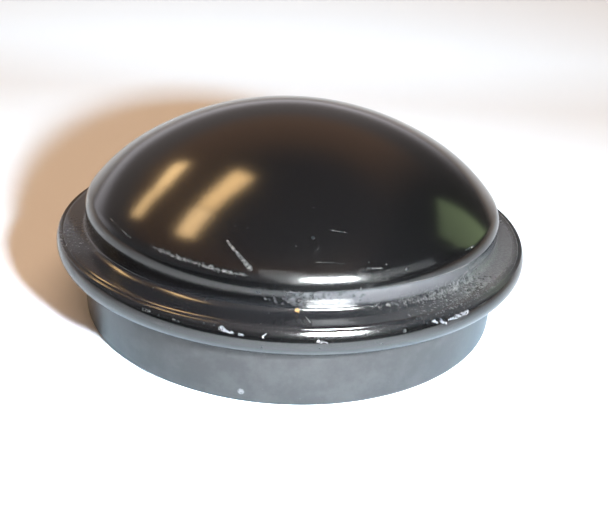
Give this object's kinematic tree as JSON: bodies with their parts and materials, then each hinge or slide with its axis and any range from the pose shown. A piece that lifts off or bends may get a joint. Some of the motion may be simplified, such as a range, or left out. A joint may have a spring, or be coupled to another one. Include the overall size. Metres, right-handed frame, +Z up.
{
  "type": "hub grease cap",
  "caption": "Domed sheet-steel grease cap that presses into the mouth of a wheel hub, with a hollow flange bead that stops against the hub's face.",
  "frame": {"origin": "centre of the skirt's rim, on the surface that the cap stands on", "axes": "+Z up along the cap's axis, from the rim to the crown"},
  "size_m": [0.0556, 0.0556, 0.0236],
  "materials": {
    "black_paint": "gloss"
  },
  "bodies": {
    "root": {"grease_cap": "black_paint"}
  },
  "joints": []
}
